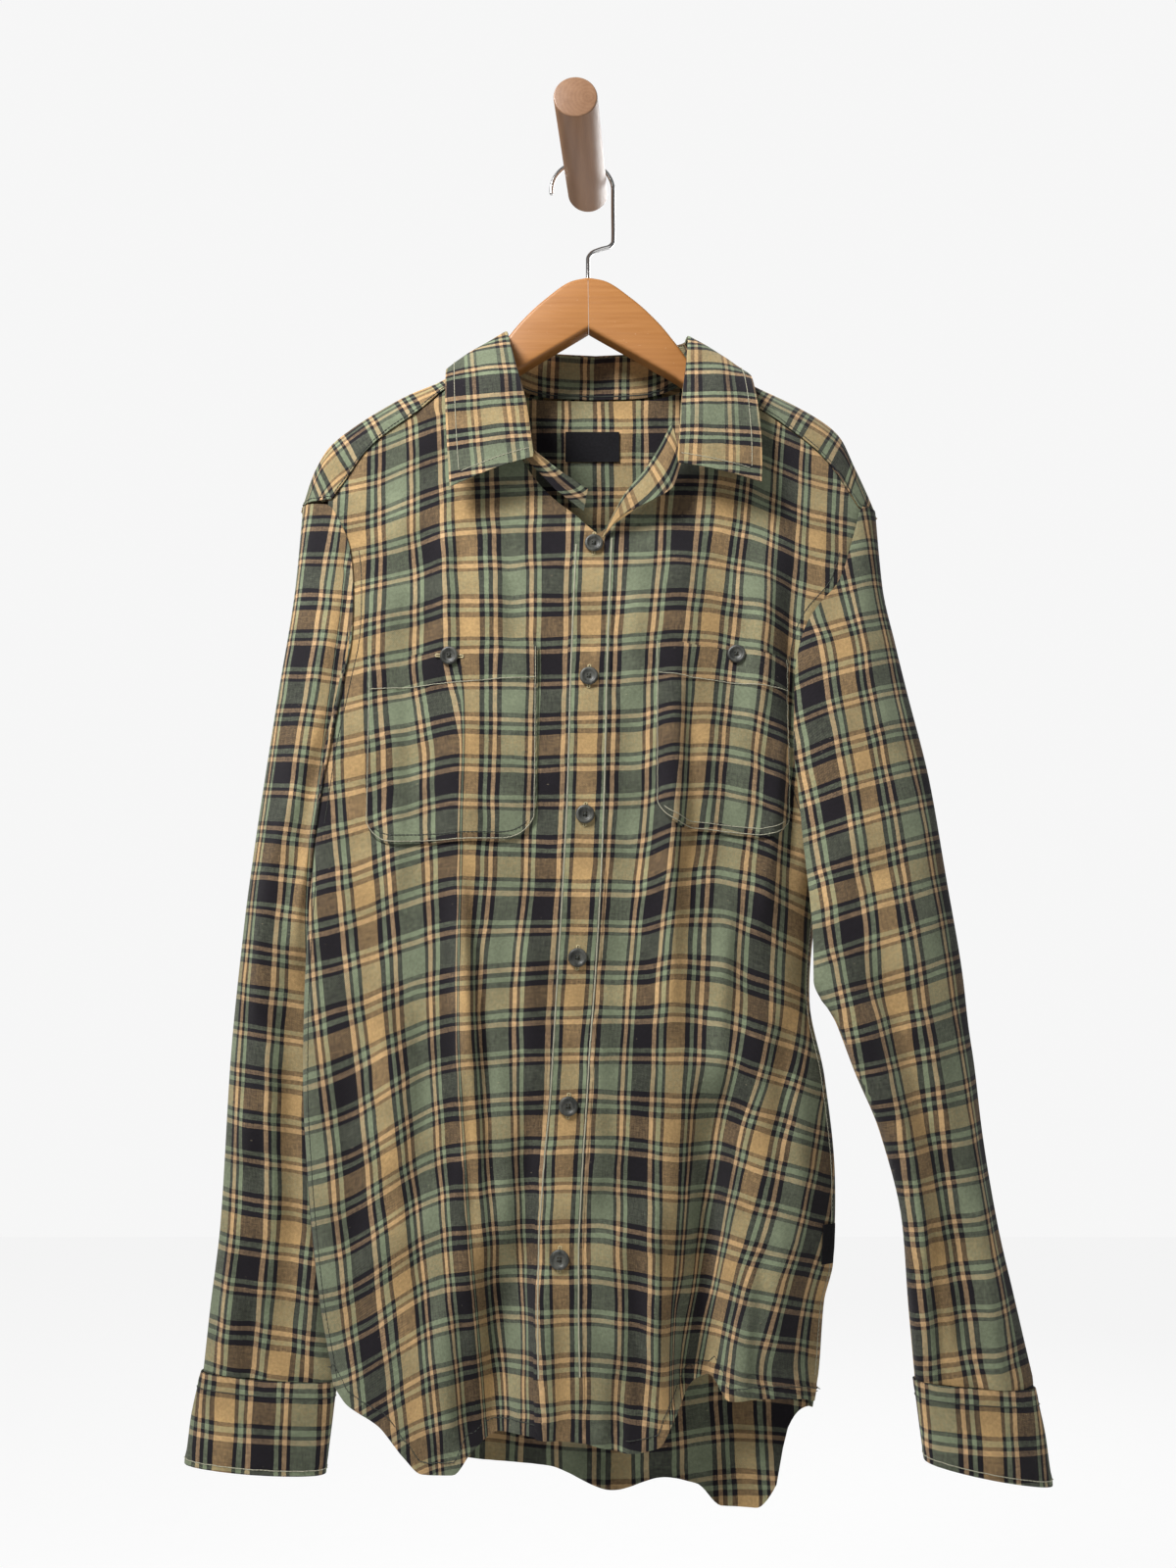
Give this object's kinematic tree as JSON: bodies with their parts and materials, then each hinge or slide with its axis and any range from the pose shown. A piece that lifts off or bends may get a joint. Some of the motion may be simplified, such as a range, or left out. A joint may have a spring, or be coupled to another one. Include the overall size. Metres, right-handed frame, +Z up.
{
  "type": "long-sleeved shirt on a wooden hanger and a wooden wall peg",
  "caption": "Men's long-sleeved button-front shirt in brushed plaid cotton with chest pockets, hanging on a wooden hanger whose wire hook goes over a wooden wall peg.",
  "frame": {"origin": "centre of the peg's flat end that is fixed to the wall", "axes": "+Z up; the wall is at y = 0 and the shirt's front faces -Y; +X is to the right of a person facing the shirt's front, which is the wearer's left"},
  "size_m": [0.5853, 0.125, 1.0192],
  "materials": {
    "plaid_cotton": "brushed plaid twill in gold, green and charcoal",
    "button": "satin",
    "label_cloth": "plain woven",
    "hanger_wood": "satin lacquer",
    "hook_steel": "bright",
    "peg_wood": "oiled"
  },
  "bodies": {
    "root": {"right_front": "plaid_cotton", "left_front": "plaid_cotton", "placket": "plaid_cotton", "placket_top_turned_out": "plaid_cotton", "back": "plaid_cotton", "yoke": "plaid_cotton", "yoke_facing": "plaid_cotton", "collar_stand": "plaid_cotton", "collar": "plaid_cotton", "right_sleeve": "plaid_cotton", "left_sleeve": "plaid_cotton", "right_cuff": "plaid_cotton", "left_cuff": "plaid_cotton", "right_sleeve_placket": "plaid_cotton", "left_sleeve_placket": "plaid_cotton", "right_pocket": "plaid_cotton", "left_pocket": "plaid_cotton", "front_button_1": "button", "front_button_2": "button", "front_button_3": "button", "front_button_4": "button", "front_button_5": "button", "front_button_6": "button", "right_pocket_button": "button", "left_pocket_button": "button", "right_cuff_button": "button", "left_cuff_button": "button", "neck_label": "label_cloth", "side_label": "label_cloth", "hanger_right_arm": "hanger_wood", "hanger_left_arm": "hanger_wood", "hanger_hook": "hook_steel", "wall_peg": "peg_wood"}
  },
  "joints": []
}
